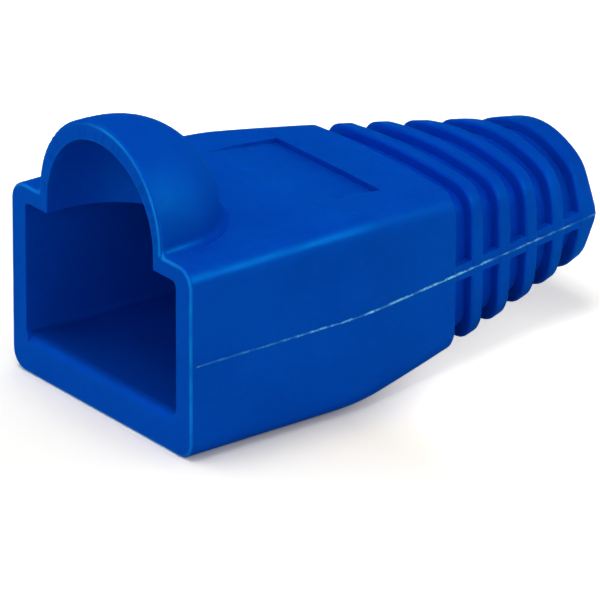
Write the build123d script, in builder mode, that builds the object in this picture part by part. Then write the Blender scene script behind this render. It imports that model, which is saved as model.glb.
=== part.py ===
from build123d import *
import os
from math import cos, pi, sin

# RJ45 strain relief boot: one soft PVC moulding that slides over the rear of a modular plug.
# Millimetres. The profiles are drawn with X from the open mouth (X = 0) to the cable end, Z up and Y = 0 the plane
# of symmetry. The finished boot is then centred along X over its flat bottom.

# ---- box that grips the plug ----
WIDTH = 13.9          # outside width of the mouth
HEIGHT = 9.44         # outside height of the box, without the hood
BOX_LEN = 9.92        # straight part, before the sides start to taper
EASE = 1.4            # the taper is eased in over this much either side of that point
EDGE_R = 0.95         # rounding of the four long edges
MOUTH_W = 11.65       # inside width of the mouth, a push fit on an 11.7 mm plug
MOUTH_LOW = 1.95      # inside floor
MOUTH_HIGH = 8.60     # inside ceiling
MOUTH_R = 0.30        # inside corners
RIM_R = 0.16          # rounding of the mouth's outer rim
LIP_R = 0.50          # rounding of the floor's front edge
CAVITY_LEN = 9.30     # straight part of the plug pocket

# ---- tapered tail ----
LENGTH = 26.16        # mouth to cable end
SIDE_TAPER = 0.178    # each side closes by this much per mm
TAIL_H = 3.48         # half height at the cable end
TAIL_CROWN_TOP = 0.65 # how far the top and bottom arch at the cable end
TAIL_CROWN_SIDE = 0.11
TAIL_CORNER_Y = 1.60  # corner size across, at the cable end
TAIL_CORNER_Z = 2.88  # corner size down, at the cable end
CORNER_GROWTH = 1.41
CORNER_K = 0.5523     # fullness of the corners: round on the box,
TAIL_CORNER_K = 0.64  # a little squarer at the cable end
END_R = 0.34          # rounding of the cable end
BORE_R = 2.70         # cable hole
BORE_LEN = 4.20

# stations of the hollow between plug pocket and cable hole: x, half width, half height, corner, middle height
FUNNEL = ((14.8, 4.90, 3.05, 1.30, 4.85), (18.5, 3.80, 2.95, 1.90, 4.72), (21.97, 2.95, 2.75, 2.30, 4.72))

# ---- flexing grooves round the tail ----
GROOVES = 5
GROOVE_X0 = 16.23
GROOVE_PITCH = 1.885
GROOVE_W = 1.05
GROOVE_D = 0.50
BAND_HALF = 0.38      # the grooves stop this far above and below the parting plane
BAND_INSET = 0.03     # the band between them lies this much lower than the ribs
WALL_DRAFT = 0.04     # lean of the groove's walls
RIB_FRONT_R = 0.16    # rounding of each rib's edge that faces the mouth
RIB_REAR_R = 0.12     # and of its other edge

# ---- hood over the plug's latch ----
HOOD_R = 4.72
HOOD_LIFT = 0.18      # its axis lies this much above the top face
HOOD_LEN = 5.93
HOOD_ROOT_R = 0.40    # blend between hood and top face
POCKET_R = 4.10
POCKET_DROP = 0.12    # its axis lies this much below the top face
POCKET_LEN = 5.08

# ---- shallow recess on top, deepest at its rear wall ----
PANEL_X0 = 9.0
PANEL_X1 = 13.15
PANEL_HALF_W = 3.97
PANEL_D = 0.31

# ---- parting line: a thin raised witness round the body at mid height ----
FLASH_W = 0.08
FLASH_D = 0.035

MID_Z = HEIGHT / 2
TAIL_LEN = LENGTH - BOX_LEN


def station(x):
    """Half width, half height, corner sizes, crowns and corner fullness of the outside at a distance x from the mouth."""
    t = x - BOX_LEN
    d = (t + EASE) ** 2 / (4 * EASE) if abs(t) < EASE else max(t, 0.0)
    u = d / (TAIL_LEN - 0.46)
    g = u**CORNER_GROWTH
    w = WIDTH / 2 - SIDE_TAPER * d
    h = MID_Z + (TAIL_H - MID_Z) * u
    a = EDGE_R + (TAIL_CORNER_Y - EDGE_R) * g
    b = EDGE_R + (TAIL_CORNER_Z - EDGE_R) * g
    return w, h, a, b, TAIL_CROWN_TOP * g, TAIL_CROWN_SIDE * g, CORNER_K + (TAIL_CORNER_K - CORNER_K) * g


def outline(w, h, a, b, ct, cs, k, zc):
    """Closed outline: crowned top, bottom and sides joined by tangent corners. Call inside a BuildLine block."""
    y1, z1 = w - a, h - ct
    y2, z2 = w - cs, h - b
    tl = (y1**2 + 4 * ct**2) ** 0.5
    sl = (z2**2 + 4 * cs**2) ** 0.5
    ty, tz = y1 / tl, -2 * ct / tl       # direction leaving the top
    sy, sz = -2 * cs / sl, z2 / sl       # direction leaving the side, upward
    ly, lz = k * (y2 - y1), k * (z1 - z2)
    c1 = (y1 + ty * ly, z1 + tz * ly)
    c2 = (y2 + sy * lz, z2 + sz * lz)

    def edge(pts):
        pts = [(p[0], p[1] + zc) for p in pts]
        if len(pts) == 3 and abs((pts[1][0] - pts[0][0]) * (pts[2][1] - pts[0][1]) - (pts[1][1] - pts[0][1]) * (pts[2][0] - pts[0][0])) < 1e-7:
            Line(pts[0], pts[2])
        else:
            Bezier(*pts)

    edge([(-y1, z1), (0, h + ct), (y1, z1)])
    edge([(y1, z1), c1, c2, (y2, z2)])
    edge([(y2, z2), (w + cs, 0), (y2, -z2)])
    edge([(y2, -z2), (c2[0], -c2[1]), (c1[0], -c1[1]), (y1, -z1)])
    edge([(y1, -z1), (0, -h - ct), (-y1, -z1)])
    edge([(-y1, -z1), (-c1[0], -c1[1]), (-c2[0], -c2[1]), (-y2, -z2)])
    edge([(-y2, -z2), (-w - cs, 0), (-y2, z2)])
    edge([(-y2, z2), (-c2[0], c2[1]), (-c1[0], c1[1]), (-y1, z1)])


def top_z(x):
    """Height of the outside along the middle of the top."""
    return MID_Z + station(x)[1]


def bell_points(radius, length, n=12):
    """Points of the hood's profile, (x, radius at x), from the open end to the closed nose."""
    pts = []
    for i in range(n + 1):
        t = 1 - (1 - i / n) ** 2
        pts.append((length * t, radius * (1 - t**2.9) ** (1 / 1.53)))
    return pts


def bell(radius, length, axis_z, rim=0.0):
    """Half profile of the hood in the XZ plane, standing on its axis. Call inside a BuildLine block."""
    pts = [(x, axis_z + r) for x, r in bell_points(radius, length) if x > 1.5 * rim]
    pts.insert(0, (rim, axis_z + radius))
    Spline(*pts, tangents=((1, 0), (0, -1)))
    Line((length, axis_z), (0, axis_z))
    Line((0, axis_z), (0, axis_z + radius - rim))
    if rim > 0:
        RadiusArc((0, axis_z + radius - rim), (rim, axis_z + radius), rim)


def section(x, shrink=0.0):
    """One closed cross section of the outside at x."""
    with BuildSketch(Plane.YZ.offset(x)) as cut:
        with BuildLine():
            w, h, a, b, ct, cs, k = station(x)
            outline(w - shrink, h - shrink, a, b - 0.6 * shrink, ct, cs, k, MID_Z)
        make_face()
    return cut.sketch


def half_width(x):
    return station(x)[0]


def rounding(x, radius, steps):
    """Quarter round that starts at x, drawn in by its radius, and ends flush one radius further on."""
    turns = [pi / 2 * i / steps for i in range(steps + 1)]
    return [(x + radius * (1 - cos(t)), radius * (1 - sin(t))) for t in turns]


GROOVE_X = [GROOVE_X0 + i * GROOVE_PITCH for i in range(GROOVES)]

# ---- tail: shoulder eased into the taper, grooves with rounded ribs between them, rounded end ----
# each entry is a distance from the mouth and how far the outside is drawn in there
SHOULDER = [BOX_LEN - EASE + i * EASE / 6 for i in range(13)]
TAIL = [(x, 0.0) for x in SHOULDER + [12.5, 13.7, 14.9]]
for x0 in GROOVE_X:
    TAIL += [(x0 - RIB_REAR_R, 0.0), (x0 - 0.3 * RIB_REAR_R, 0.3 * RIB_REAR_R), (x0, RIB_REAR_R)]
    TAIL += [(x0 + WALL_DRAFT, GROOVE_D), (x0 + GROOVE_W - WALL_DRAFT, GROOVE_D)]
    TAIL += rounding(x0 + GROOVE_W, RIB_FRONT_R, 4)
TAIL += [(2 * LENGTH - x, s) for x, s in reversed(rounding(LENGTH, END_R, 5))]

with BuildPart() as tail:
    loft(sections=[section(x, s) for x, s in TAIL], ruled=True)

# ---- plain band along the parting plane, which interrupts the grooves ----
with BuildPart() as band:
    with BuildSketch(Plane.XY.offset(MID_Z - BAND_HALF)):
        with BuildLine():
            xs = (15.6, 25.4)
            ys = [half_width(x) - BAND_INSET for x in xs]
            Polyline(*zip(xs, ys), *reversed(list(zip(xs, [-y for y in ys]))), close=True)
        make_face()
    extrude(amount=2 * BAND_HALF)

# ---- witness of the parting line ----
with BuildPart() as witness:
    with BuildSketch(Plane.XY.offset(MID_Z - FLASH_W / 2)):
        with BuildLine():
            edge = [(x, half_width(x) + FLASH_D) for x in [0.3] + SHOULDER + [LENGTH - END_R]]
            mid = (LENGTH - 0.293 * END_R + 0.01, half_width(LENGTH) - 0.293 * END_R + 0.01)
            end = (LENGTH - 0.05, half_width(LENGTH) - END_R + 0.12)
            Polyline(*edge)
            ThreePointArc(edge[-1], mid, end)
            Polyline(end, (end[0], -end[1]))
            ThreePointArc((end[0], -end[1]), (mid[0], -mid[1]), (edge[-1][0], -edge[-1][1]))
            Polyline(*[(x, -y) for x, y in reversed(edge)], edge[0])
        make_face()
    extrude(amount=FLASH_W)

# ---- everything joined, then hollowed ----
with BuildPart() as body:
    # box
    with BuildSketch(Plane.YZ):
        with BuildLine():
            outline(*station(0), MID_Z)
        make_face()
    extrude(amount=BOX_LEN - EASE)
    fillet(body.faces().sort_by(Axis.X)[0].edges(), RIM_R)
    # hood: half of a blunt bell, lying along the top face with its open end at the mouth
    with BuildSketch(Plane.XZ):
        with BuildLine():
            bell(HOOD_R, HOOD_LEN, HEIGHT + HOOD_LIFT, RIM_R)
        make_face()
    revolve(axis=Axis((0, 0, HEIGHT + HOOD_LIFT), (1, 0, 0)), revolution_arc=360)
    # blend at the hood's root
    root = body.edges().filter_by(lambda e: abs(e.bounding_box().min.Z - HEIGHT) < 1e-3 and abs(e.bounding_box().max.Z - HEIGHT) < 1e-3 and abs(e.center().Y) < HOOD_R - 0.3 and e.center().X > 0.1 and e.center().X < HOOD_LEN)
    fillet(root, HOOD_ROOT_R)
    # tail
    add(tail.part)
    add(band.part)
    add(witness.part)
    # recess on top: a wedge, flush at the hood and deepest at its rear wall
    with BuildSketch(Plane.XZ.offset(-PANEL_HALF_W)):
        with BuildLine():
            Polyline(
                (PANEL_X0, HEIGHT),
                (PANEL_X1, top_z(PANEL_X1) - PANEL_D),
                (PANEL_X1, HEIGHT + 1.0),
                (PANEL_X0, HEIGHT + 1.0),
                close=True,
            )
        make_face()
    extrude(amount=2 * PANEL_HALF_W, mode=Mode.SUBTRACT)
    # pocket under the hood
    with BuildSketch(Plane.XZ):
        with BuildLine():
            bell(POCKET_R, POCKET_LEN, HEIGHT - POCKET_DROP)
        make_face()
    revolve(axis=Axis((0, 0, HEIGHT - POCKET_DROP), (1, 0, 0)), revolution_arc=360, mode=Mode.SUBTRACT)
    # its straight side walls, down through the ceiling of the mouth
    with BuildSketch(Plane.XY.offset(MOUTH_HIGH - 0.5)):
        with BuildLine():
            Spline(*[(x, y) for x, y in bell_points(POCKET_R, POCKET_LEN)], tangents=((1, 0), (0, -1)))
            Line((POCKET_LEN, 0), (0, 0))
            Line((0, 0), (0, POCKET_R))
        make_face()
        mirror(about=Plane.XZ)
    extrude(amount=HEIGHT - POCKET_DROP - MOUTH_HIGH + 0.5, mode=Mode.SUBTRACT)
    # plug pocket
    with BuildSketch(Plane.YZ):
        with Locations((0, (MOUTH_LOW + MOUTH_HIGH) / 2)):
            RectangleRounded(MOUTH_W, MOUTH_HIGH - MOUTH_LOW, MOUTH_R)
    extrude(amount=CAVITY_LEN, mode=Mode.SUBTRACT)
    # rounded front edge of the floor
    with BuildSketch(Plane.XZ.offset(-MOUTH_W / 2 + 0.15)):
        with BuildLine():
            Polyline((LIP_R, MOUTH_LOW), (LIP_R, MOUTH_LOW + 0.3), (-0.2, MOUTH_LOW + 0.3), (-0.2, MOUTH_LOW - LIP_R), (0, MOUTH_LOW - LIP_R))
            RadiusArc((0, MOUTH_LOW - LIP_R), (LIP_R, MOUTH_LOW), LIP_R)
        make_face()
    extrude(amount=MOUTH_W - 0.3, mode=Mode.SUBTRACT)
    # funnel from the plug pocket to the cable hole
    with BuildSketch(Plane.YZ.offset(CAVITY_LEN)):
        with BuildLine():
            outline(MOUTH_W / 2, (MOUTH_HIGH - MOUTH_LOW) / 2, 0.6, 0.6, 0, 0, CORNER_K, (MOUTH_LOW + MOUTH_HIGH) / 2)
        make_face()
    for x, w, h, r, zc in FUNNEL:
        with BuildSketch(Plane.YZ.offset(x)):
            with BuildLine():
                outline(w, h, r, r, 0.05, 0.05, CORNER_K, zc)
            make_face()
    loft(ruled=True, mode=Mode.SUBTRACT)
    # cable hole
    with BuildSketch(Plane.YZ.offset(LENGTH - BORE_LEN)):
        with Locations((0, MID_Z)):
            Circle(BORE_R)
    extrude(amount=BORE_LEN, mode=Mode.SUBTRACT)

# ---- the boot, centred along X over its flat bottom ----
with BuildPart() as boot:
    with Locations((-LENGTH / 2, 0, 0)):
        add(body.part)

os.makedirs("parts", exist_ok=True)
boot.part.label = "boot"
export_step(boot.part, "parts/boot.step")
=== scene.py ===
import math

import bpy
from mathutils import Matrix, Vector

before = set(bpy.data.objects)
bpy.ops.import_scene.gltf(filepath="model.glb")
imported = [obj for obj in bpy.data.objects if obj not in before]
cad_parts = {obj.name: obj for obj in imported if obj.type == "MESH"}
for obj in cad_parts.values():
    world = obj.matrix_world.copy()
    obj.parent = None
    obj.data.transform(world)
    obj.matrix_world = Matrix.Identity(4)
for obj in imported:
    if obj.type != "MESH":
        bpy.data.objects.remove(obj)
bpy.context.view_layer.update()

# The profiles are measured from the open mouth; the row's origin is half the length behind it.
LENGTH = 26.16
WIDTH, HEIGHT, BOX_LEN, SIDE_TAPER = 13.9, 9.44, 9.92, 0.178
HOOD_R, HOOD_LIFT, HOOD_LEN, POCKET_R, POCKET_DROP = 4.72, 0.18, 5.93, 4.10, 0.12
GROOVE_X0, GROOVE_PITCH, GROOVE_W, BAND_HALF = 16.23, 1.885, 1.05, 0.38
MM = 0.001


# ---------------------------------------------------------------- camera
def camera():
    """A long lens, looking down on the mouth's right side, at the photograph's angle."""
    az, el, roll = math.radians(52.454), math.radians(23.614), math.radians(0.211)
    fwd = Vector((math.cos(el) * math.cos(az), math.cos(el) * math.sin(az), -math.sin(el)))
    right = Vector((math.sin(az), -math.cos(az), 0.0))
    up = right.cross(fwd)
    r = math.cos(roll) * right + math.sin(roll) * up
    u = -math.sin(roll) * right + math.cos(roll) * up
    place = (9.168 * r + 5.213 * u - 379.717 * fwd - Vector((LENGTH / 2, 0, 0))) * MM
    data = bpy.data.cameras.new("view")
    data.sensor_width = 36.0
    data.lens = 21.73 * 379.717 * 36.0 / 600.0
    data.clip_start = 0.01
    data.clip_end = 20.0
    cam = bpy.data.objects.new("view", data)
    bpy.context.scene.collection.objects.link(cam)
    cam.matrix_world = Matrix(
        (
            (r.x, u.x, -fwd.x, place.x),
            (r.y, u.y, -fwd.y, place.y),
            (r.z, u.z, -fwd.z, place.z),
            (0, 0, 0, 1),
        )
    )
    bpy.context.scene.camera = cam
    return cam


camera()


# ---------------------------------------------------------------- light
def area(name, towards, distance, size, power, colour=(1, 1, 1), aim=(0, 0, 0.006)):
    """A square soft light, in the direction given, facing the object."""
    data = bpy.data.lights.new(name, "AREA")
    data.shape = "RECTANGLE"
    data.size, data.size_y = size
    data.energy = power
    data.color = colour
    light = bpy.data.objects.new(name, data)
    bpy.context.scene.collection.objects.link(light)
    d = Vector(towards).normalized()
    light.location = Vector(aim) + d * distance
    light.rotation_euler = (-d).to_track_quat("-Z", "Y").to_euler()
    return light


# A light tent of white panels, four bright sides and a dimmer roof, lights every side of the object evenly.
def tent(roof, walls, half=1.3, tall=1.2):
    sides = [("roof", (0, 0, 1), tall, (2 * half, 2 * half), roof)]
    for name, d in (("front", (0, -1, 0)), ("back", (0, 1, 0)), ("left", (-1, 0, 0)), ("right", (1, 0, 0))):
        sides.append((name, d, half, (2 * half, tall), walls))
    for name, d, far, size, radiance in sides:
        panel = area("tent_" + name, d, far, size, radiance * math.pi * size[0] * size[1], aim=(0, 0, 0 if d[2] else tall / 2))
        panel.visible_glossy = False
        panel.visible_camera = False
        panel.data.cycles.use_multiple_importance_sampling = False


tent(0.20, 1.25)
# A soft key hangs almost straight overhead and gives the short shadow round the foot.
key = area("key_overhead", (-0.11, 0.075, 1.0), 0.40, (0.20, 0.20), 0.94, (1.0, 0.99, 0.92))
key.visible_glossy = False
key.data.cycles.use_multiple_importance_sampling = False
# A soft box on the right draws the highlight along the upper edge of the box and on the hood's side.
gloss = area("softbox_right", (0.56, -0.68, 0.48), 0.34, (0.12, 0.12), 1.0, (0.02, 0.50, 0.52))
gloss.visible_diffuse = False
# Another, large and on the left, edges the rim of the mouth and hood.
edge = area("softbox_left", (-0.85, -0.20, 0.35), 0.36, (0.50, 0.40), 2.2, (0.01, 0.20, 1.0))
edge.visible_diffuse = False

# Behind the tent it is white to the eye, and dim and blue in reflections.
world = bpy.data.worlds.new("studio")
bpy.context.scene.world = world
world.use_nodes = True
world.cycles.sampling_method = "NONE"
wt = world.node_tree
back = wt.nodes["Background"]
back.inputs["Color"].default_value = (1, 1, 1, 1)
dark = wt.nodes.new("ShaderNodeBackground")
dark.inputs["Color"].default_value = (0, 0, 0, 1)
dim = wt.nodes.new("ShaderNodeBackground")
dim.inputs["Color"].default_value = (0.0, 0.22, 0.50, 1)
dim.inputs["Strength"].default_value = 0.45
ray = wt.nodes.new("ShaderNodeLightPath")
gloss_or_not = wt.nodes.new("ShaderNodeMixShader")
wt.links.new(ray.outputs["Is Glossy Ray"], gloss_or_not.inputs[0])
wt.links.new(dark.outputs[0], gloss_or_not.inputs[1])
wt.links.new(dim.outputs[0], gloss_or_not.inputs[2])
pick = wt.nodes.new("ShaderNodeMixShader")
wt.links.new(ray.outputs["Is Camera Ray"], pick.inputs[0])
wt.links.new(gloss_or_not.outputs[0], pick.inputs[1])
wt.links.new(back.outputs[0], pick.inputs[2])
wt.links.new(pick.outputs[0], wt.nodes["World Output"].inputs["Surface"])

scene = bpy.context.scene
scene.view_settings.view_transform = "Standard"
scene.view_settings.look = "None"
scene.view_settings.exposure = 0.0
scene.view_settings.gamma = 1.0


# ---------------------------------------------------------------- floor
def floor():
    mesh = bpy.data.meshes.new("floor")
    s = 1.5
    mesh.from_pydata([(-s, -s, 0), (s, -s, 0), (s, s, 0), (-s, s, 0)], [], [(0, 1, 2, 3)])
    obj = bpy.data.objects.new("floor", mesh)
    bpy.context.scene.collection.objects.link(obj)
    mat = bpy.data.materials.new("pale_floor")
    mat.use_nodes = True
    nt = mat.node_tree
    p = nt.nodes["Principled BSDF"]
    p.inputs["Roughness"].default_value = 1.0
    p.inputs["Specular IOR Level"].default_value = 0.0
    # painted light: the white table glows, more under the tail and away from the boot, which lightens the shadows
    # there; it throws less light back up, and shows dim and blue in reflections
    where = nt.nodes.new("ShaderNodeSeparateXYZ")
    nt.links.new(nt.nodes.new("ShaderNodeTexCoord").outputs["Object"], where.inputs[0])
    tail_glow = nt.nodes.new("ShaderNodeMapRange")
    tail_glow.interpolation_type = "SMOOTHSTEP"
    nt.links.new(where.outputs["X"], tail_glow.inputs["Value"])
    for socket, v in (("From Min", -5.0 * MM), ("From Max", 3.0 * MM), ("To Min", 0.02), ("To Max", 0.55)):
        tail_glow.inputs[socket].default_value = v
    fade = nt.nodes.new("ShaderNodeMapRange")
    fade.interpolation_type = "SMOOTHSTEP"
    nt.links.new(where.outputs["X"], fade.inputs["Value"])
    for socket, v in (("From Min", 8.0 * MM), ("From Max", 14.0 * MM), ("To Min", 1.0), ("To Max", 0.50)):
        fade.inputs[socket].default_value = v
    both = nt.nodes.new("ShaderNodeMath")
    both.operation = "MULTIPLY"
    nt.links.new(tail_glow.outputs["Result"], both.inputs[0])
    nt.links.new(fade.outputs["Result"], both.inputs[1])
    away = nt.nodes.new("ShaderNodeVectorMath")
    away.operation = "LENGTH"
    nt.links.new(where.inputs[0].links[0].from_socket, away.inputs[0])
    # close to the boot it is warmer, against the blue light that the boot throws on it
    close = nt.nodes.new("ShaderNodeMapRange")
    close.interpolation_type = "SMOOTHSTEP"
    nt.links.new(away.outputs["Value"], close.inputs["Value"])
    for socket, v in (("From Min", 10.0 * MM), ("From Max", 17.0 * MM), ("To Min", 1.0), ("To Max", 0.0)):
        close.inputs[socket].default_value = v
    warm = nt.nodes.new("ShaderNodeMix")
    warm.data_type = "RGBA"
    nt.links.new(close.outputs["Result"], warm.inputs[0])
    warm.inputs[6].default_value = (0.985, 0.98, 0.965, 1)
    warm.inputs[7].default_value = (0.965, 0.915, 0.83, 1)
    nt.links.new(warm.outputs[2], p.inputs["Base Color"])
    far = nt.nodes.new("ShaderNodeMapRange")
    far.interpolation_type = "SMOOTHSTEP"
    nt.links.new(away.outputs["Value"], far.inputs["Value"])
    for socket, v in (("From Min", 24.0 * MM), ("From Max", 60.0 * MM), ("To Min", 0.0), ("To Max", 0.60)):
        far.inputs[socket].default_value = v
    most = nt.nodes.new("ShaderNodeMath")
    most.operation = "MAXIMUM"
    nt.links.new(both.outputs[0], most.inputs[0])
    nt.links.new(far.outputs["Result"], most.inputs[1])
    grey = nt.nodes.new("ShaderNodeCombineColor")
    for socket in grey.inputs:
        nt.links.new(most.outputs[0], socket)
    # painted light: the floor's glow, strongest under the tail and far from the boot
    glow = nt.nodes.new("ShaderNodeEmission")
    nt.links.new(grey.outputs[0], glow.inputs["Color"])
    table = nt.nodes.new("ShaderNodeAddShader")
    nt.links.new(p.outputs[0], table.inputs[0])
    nt.links.new(glow.outputs[0], table.inputs[1])
    bounce = nt.nodes.new("ShaderNodeBsdfDiffuse")
    bounce.inputs["Color"].default_value = (0.03, 0.58, 0.62, 1)
    mirrored = nt.nodes.new("ShaderNodeBsdfDiffuse")
    mirrored.inputs["Color"].default_value = (0.01, 0.22, 0.45, 1)
    ray = nt.nodes.new("ShaderNodeLightPath")
    in_gloss = nt.nodes.new("ShaderNodeMixShader")
    nt.links.new(ray.outputs["Is Glossy Ray"], in_gloss.inputs[0])
    nt.links.new(bounce.outputs[0], in_gloss.inputs[1])
    nt.links.new(mirrored.outputs[0], in_gloss.inputs[2])
    pick = nt.nodes.new("ShaderNodeMixShader")
    nt.links.new(ray.outputs["Is Camera Ray"], pick.inputs[0])
    nt.links.new(in_gloss.outputs[0], pick.inputs[1])
    nt.links.new(table.outputs[0], pick.inputs[2])
    nt.links.new(pick.outputs[0], nt.nodes["Material Output"].inputs["Surface"])
    mesh.materials.append(mat)
    return obj


floor()

# ---------------------------------------------------------------- soft PVC
class Nodes:
    """Short ways to add and join nodes in one material."""

    def __init__(self, mat):
        self.tree = mat.node_tree

    def add(self, kind, **values):
        node = self.tree.nodes.new(kind)
        for k, v in values.items():
            setattr(node, k, v)
        return node

    def join(self, a, b):
        self.tree.links.new(a, b)

    def math(self, op, a, b=None, c=None, clamp=False):
        node = self.add("ShaderNodeMath", operation=op, use_clamp=clamp)
        for socket, v in zip(node.inputs, (a, b, c)):
            if v is None:
                continue
            if isinstance(v, (int, float)):
                socket.default_value = v
            else:
                self.join(v, socket)
        return node.outputs[0]

    def between(self, value, lo, hi, out_lo=0.0, out_hi=1.0):
        """value mapped smoothly from lo..hi to out_lo..out_hi."""
        node = self.add("ShaderNodeMapRange", interpolation_type="SMOOTHSTEP")
        self.join(value, node.inputs["Value"])
        node.inputs["From Min"].default_value = lo
        node.inputs["From Max"].default_value = hi
        node.inputs["To Min"].default_value = out_lo
        node.inputs["To Max"].default_value = out_hi
        return node.outputs["Result"]

    def noise(self, vector, scale, detail=2.0, rough=0.5, distortion=0.0):
        node = self.add("ShaderNodeTexNoise", noise_dimensions="3D")
        self.join(vector, node.inputs["Vector"])
        node.inputs["Scale"].default_value = scale
        node.inputs["Detail"].default_value = detail
        node.inputs["Roughness"].default_value = rough
        node.inputs["Distortion"].default_value = distortion
        return node.outputs["Fac"]

    def mix(self, factor, a, b):
        node = self.add("ShaderNodeMix", data_type="RGBA", blend_type="MIX")
        self.join(factor, node.inputs["Factor"])
        for socket, v in ((node.inputs["A"], a), (node.inputs["B"], b)):
            if isinstance(v, tuple):
                socket.default_value = v
            else:
                self.join(v, socket)
        return node.outputs["Result"]


def pvc():
    """Satin blue PVC: a slightly uneven skin, and a pale, broken line where the mould's halves met."""
    mat = bpy.data.materials.new("soft_pvc")
    mat.use_nodes = True
    n = Nodes(mat)
    p = mat.node_tree.nodes["Principled BSDF"]
    place = n.add("ShaderNodeTexCoord").outputs["Object"]
    xyz = n.add("ShaderNodeSeparateXYZ")
    n.join(place, xyz.inputs[0])
    x, y, z = xyz.outputs

    # colour: cloudy, a little lighter and darker by turns
    cloud = n.between(n.noise(place, 170.0, 2.0), 0.30, 0.70)
    blue = n.mix(cloud, (0.0003, 0.045, 0.380, 1), (0.0006, 0.056, 0.430, 1))
    grain = n.between(n.noise(place, 2600.0, 3.0, 0.6), 0.35, 0.75)
    blue = n.mix(n.math("MULTIPLY", grain, 0.25), blue, (0.001, 0.070, 0.500, 1))

    # painted shade: the grooves' floors and walls are painted darker and deeper in colour than the ribs between
    # them, as the shade that falls in them
    mid = HEIGHT / 2 * MM
    level = n.math("ABSOLUTE", n.math("SUBTRACT", z, mid))
    start = n.math("DIVIDE", n.math("SUBTRACT", x, (GROOVE_X0 - LENGTH / 2) * MM), GROOVE_PITCH * MM)
    along = n.math("MULTIPLY", n.math("FRACT", start), GROOVE_PITCH)
    groove_shade = n.between(along, 0.00, 0.05)
    groove_shade = n.math("MULTIPLY", groove_shade, n.between(along, GROOVE_W - 0.05, GROOVE_W + 0.14, 1.0, 0.0))
    groove_shade = n.math("MULTIPLY", groove_shade, n.math("MULTIPLY", n.math("GREATER_THAN", start, 0.0), n.math("LESS_THAN", start, 5.0)))
    groove_shade = n.math("MULTIPLY", groove_shade, n.between(level, (BAND_HALF - 0.02) * MM, (BAND_HALF + 0.04) * MM))
    groove_shade = n.math("MULTIPLY", groove_shade, n.between(x, 8.5 * MM, 11.0 * MM, 0.85, 0.45))
    # painted shade in the grooves
    blue = n.mix(groove_shade, blue, (0.0002, 0.040, 0.450, 1))

    # painted shade: the hood is painted a darker blue, and darker still in the crease round its foot where shade
    # falls; both are rougher as well
    height = n.math("SUBTRACT", z, HEIGHT * MM)

    def radial(axis):
        up = n.math("SUBTRACT", z, axis * MM)
        return n.math("SQRT", n.math("ADD", n.math("MULTIPLY", y, y), n.math("MULTIPLY", up, up)))

    hood = n.math("SUBTRACT", radial(HEIGHT + HOOD_LIFT), HOOD_R * MM)
    facing = n.add("ShaderNodeSeparateXYZ")
    n.join(n.add("ShaderNodeNewGeometry").outputs["Normal"], facing.inputs[0])
    _, ny, nz = facing.outputs
    outer = n.math("ADD", n.math("MULTIPLY", ny, y), n.math("MULTIPLY", nz, n.math("SUBTRACT", z, (HEIGHT + HOOD_LIFT) * MM)))
    near = n.between(x, (HOOD_LEN + 0.4 - LENGTH / 2) * MM, (HOOD_LEN + 0.8 - LENGTH / 2) * MM, 1.0, 0.0)
    near = n.math("MULTIPLY", near, n.math("GREATER_THAN", outer, 0.0))
    hood_shade_and_rough = n.math("MULTIPLY", n.between(height, 0.0, 0.6 * MM), near)
    beside = n.math("MULTIPLY", n.between(x, (1.0 - LENGTH / 2) * MM, (3.0 - LENGTH / 2) * MM), n.between(x, (HOOD_LEN - LENGTH / 2) * MM, (HOOD_LEN + 1.5 - LENGTH / 2) * MM, 1.0, 0.0))
    crease_shade_and_rough = n.math("MULTIPLY", n.between(height, -0.15 * MM, -0.02 * MM), n.between(height, 0.0, 1.3 * MM, 1.0, 0.0))
    crease_shade_and_rough = n.math("MULTIPLY", crease_shade_and_rough, n.math("MULTIPLY", beside, n.math("GREATER_THAN", outer, 0.0)))
    crease_shade_and_rough = n.math("MULTIPLY", crease_shade_and_rough, n.between(hood, 0.0, 1.5 * MM, 1.0, 0.0))
    # painted shade on the hood, and deeper painted shade in the crease at its foot
    blue = n.mix(n.math("MULTIPLY", hood_shade_and_rough, 0.28), blue, (0.0004, 0.034, 0.280, 1))
    blue = n.mix(n.math("MULTIPLY", crease_shade_and_rough, 0.55), blue, (0.0002, 0.020, 0.300, 1))

    # painted shade: just inside the mouth the floor of the pocket is painted darker as well
    lip_shade = n.math("MULTIPLY", n.between(n.math("ABSOLUTE", y), 5.75 * MM, 5.84 * MM, 1.0, 0.0), n.between(x, (0.1 - LENGTH / 2) * MM, (0.3 - LENGTH / 2) * MM))
    lip_shade = n.math("MULTIPLY", lip_shade, n.math("MULTIPLY", n.between(x, (0.5 - LENGTH / 2) * MM, (4.5 - LENGTH / 2) * MM, 1.0, 0.0), n.between(nz, 0.1, 0.8)))
    lip_shade = n.math("MULTIPLY", lip_shade, n.between(z, 2.6 * MM, 3.2 * MM, 1.0, 0.0))
    # painted shade on the pocket's floor
    blue = n.mix(n.math("MULTIPLY", lip_shade, 0.7), blue, (0.0003, 0.030, 0.250, 1))

    # painted shade: the lower half of the tail is painted a little darker than the rest, less so towards its end;
    # the upper part of its end is also painted a little darker
    under_shade = n.math("MULTIPLY", n.between(x, 2.6 * MM, 4.0 * MM), n.between(z, 1.8 * MM, 4.4 * MM, 1.0, 0.0))
    end_darker = n.math("MULTIPLY", n.between(z, 5.5 * MM, 7.0 * MM), n.between(x, 10.5 * MM, 12.5 * MM, 0.0, 0.26))
    under_shade = n.math("MULTIPLY", under_shade, n.between(x, 10.5 * MM, 12.5 * MM, 0.50, 0.10))
    # painted shade under the tail, and a darker top at its end
    blue = n.mix(n.math("ADD", under_shade, end_darker), blue, (0.0004, 0.030, 0.270, 1))
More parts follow.
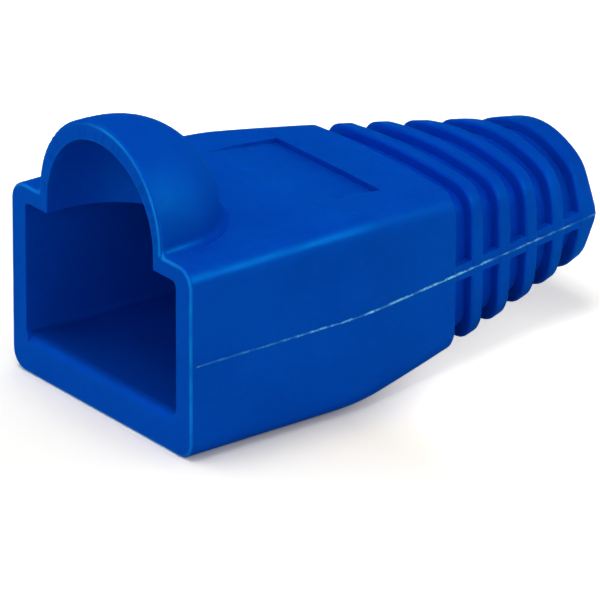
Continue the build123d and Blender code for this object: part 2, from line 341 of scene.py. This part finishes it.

    # painted highlight: the rim of the mouth and hood is painted a little paler, broken in patches, where its edges
    # catch the light
    qy = n.math("MAXIMUM", n.math("SUBTRACT", n.math("ABSOLUTE", y), (WIDTH / 2 - 0.95) * MM), 0.0)
    qz = n.math("MAXIMUM", n.math("SUBTRACT", n.math("ABSOLUTE", n.math("SUBTRACT", z, HEIGHT / 2 * MM)), (HEIGHT / 2 - 0.95) * MM), 0.0)
    box = n.math("SUBTRACT", n.math("SQRT", n.math("ADD", n.math("MULTIPLY", qy, qy), n.math("MULTIPLY", qz, qz))), 0.95 * MM)
    on_box = n.math("MULTIPLY", n.between(box, -0.17 * MM, -0.10 * MM), n.math("GREATER_THAN", hood, -0.02 * MM))
    around = n.math("MULTIPLY", n.between(hood, -0.28 * MM, -0.20 * MM), n.between(hood, -0.12 * MM, -0.05 * MM, 1.0, 0.0))
    around = n.math("MULTIPLY", around, n.between(height, -0.10 * MM, 0.05 * MM))
    around = n.math("MULTIPLY", around, n.between(y, -0.5 * MM, 1.5 * MM, 1.0, 0.20))
    rim_highlight = n.math("MAXIMUM", on_box, around)
    inner = n.between(n.math("ABSOLUTE", n.math("SUBTRACT", radial(HEIGHT - POCKET_DROP), POCKET_R * MM)), 0.03 * MM, 0.08 * MM, 0.25, 0.0)
    inner = n.math("MULTIPLY", inner, n.between(height, -0.9 * MM, 0.2 * MM))
    rim_highlight = n.math("MAXIMUM", rim_highlight, inner)
    rim_highlight = n.math("MULTIPLY", rim_highlight, n.between(x, (-LENGTH / 2 + 0.05) * MM, (-LENGTH / 2 + 0.14) * MM, 1.0, 0.0))
    highlight_patches = n.between(n.noise(place, 500.0, 2.0), 0.30, 0.65, 0.40, 0.95)
    # painted highlight along the rim of the mouth and hood
    blue = n.mix(n.math("MULTIPLY", rim_highlight, highlight_patches), blue, (0.006, 0.200, 0.600, 1))

    # parting line: on the outside only, at mid height. A faint line with pale beads, most of them on the taper
    tail = n.math("MAXIMUM", n.math("SUBTRACT", x, (BOX_LEN - LENGTH / 2) * MM), 0.0)
    half = n.math("SUBTRACT", WIDTH / 2 * MM, n.math("MULTIPLY", tail, SIDE_TAPER))
    outside = n.between(n.math("SUBTRACT", n.math("ABSOLUTE", y), half), -0.40 * MM, -0.20 * MM)
    width = n.between(n.noise(place, 2400.0, 2.0), 0.30, 0.70, 0.022 * MM, 0.060 * MM)
    line = n.between(n.math("SUBTRACT", width, level), -0.018 * MM, 0.018 * MM)
    line = n.math("MULTIPLY", line, n.math("MULTIPLY", outside, n.between(x, (0.25 - LENGTH / 2) * MM, (0.40 - LENGTH / 2) * MM)))
    worn = n.add("ShaderNodeValToRGB")
    n.join(n.math("ADD", n.math("DIVIDE", x, LENGTH * MM), 0.5), worn.inputs[0])
    stops = ((0.00, 0.35), (0.08, 0.18), (0.25, 0.55), (0.36, 0.85), (0.41, 0.40), (0.55, 1.00), (0.67, 0.95), (0.71, 0.25), (0.80, 0.55), (0.92, 0.16))
    while len(worn.color_ramp.elements) < len(stops):
        worn.color_ramp.elements.new(1.0)
    for stop, (at, v) in zip(worn.color_ramp.elements, stops):
        stop.position, stop.color = at, (v, v, v, 1)
    beads = n.between(n.noise(place, 1300.0, 3.0, 0.7), 0.42, 0.62, 0.20, 1.45)
    few = n.between(n.noise(place, 700.0, 1.0), 0.54, 0.62, 0.0, 0.60)
    pale = n.math("MULTIPLY", line, n.math("MULTIPLY", beads, n.math("ADD", worn.outputs["Color"], few)), clamp=True)
    colour = n.mix(pale, n.mix(n.math("MULTIPLY", line, 0.4), blue, (0.004, 0.100, 0.480, 1)), (0.30, 0.62, 0.82, 1))
    n.join(colour, p.inputs["Base Color"])

    # the box is satin, the hood a little rougher
    rough = n.between(n.noise(place, 700.0, 3.0, 0.6), 0.25, 0.75, 0.36, 0.46)
    rough = n.math("ADD", rough, n.math("ADD", n.math("MULTIPLY", hood_shade_and_rough, 0.12), n.math("MULTIPLY", crease_shade_and_rough, 0.30)))
    n.join(n.math("ADD", rough, n.math("MULTIPLY", line, 0.15)), p.inputs["Roughness"])
    p.inputs["IOR"].default_value = 1.52
    p.inputs["Specular Tint"].default_value = (0.02, 0.60, 1.0, 1)
    p.inputs["Subsurface Weight"].default_value = 0.15
    p.inputs["Subsurface Radius"].default_value = (0.1, 0.35, 1.0)
    p.inputs["Subsurface Scale"].default_value = 0.7 * MM

    # skin: slow waves from shrinkage and a fine satin grain, over edges that are never quite sharp
    soft = n.add("ShaderNodeBevel", samples=6)
    soft.inputs["Radius"].default_value = 0.06 * MM
    waves = n.add("ShaderNodeBump")
    waves.inputs["Strength"].default_value = 0.35
    waves.inputs["Distance"].default_value = 0.05 * MM
    n.join(n.noise(place, 620.0, 1.0), waves.inputs["Height"])
    n.join(soft.outputs[0], waves.inputs["Normal"])
    fine = n.add("ShaderNodeBump")
    fine.inputs["Strength"].default_value = 0.12
    fine.inputs["Distance"].default_value = 0.01 * MM
    n.join(n.noise(place, 9000.0, 2.0), fine.inputs["Height"])
    n.join(waves.outputs[0], fine.inputs["Normal"])
    n.join(fine.outputs[0], p.inputs["Normal"])
    return mat


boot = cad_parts["boot"]
boot.data.materials.clear()
boot.data.materials.append(pvc())
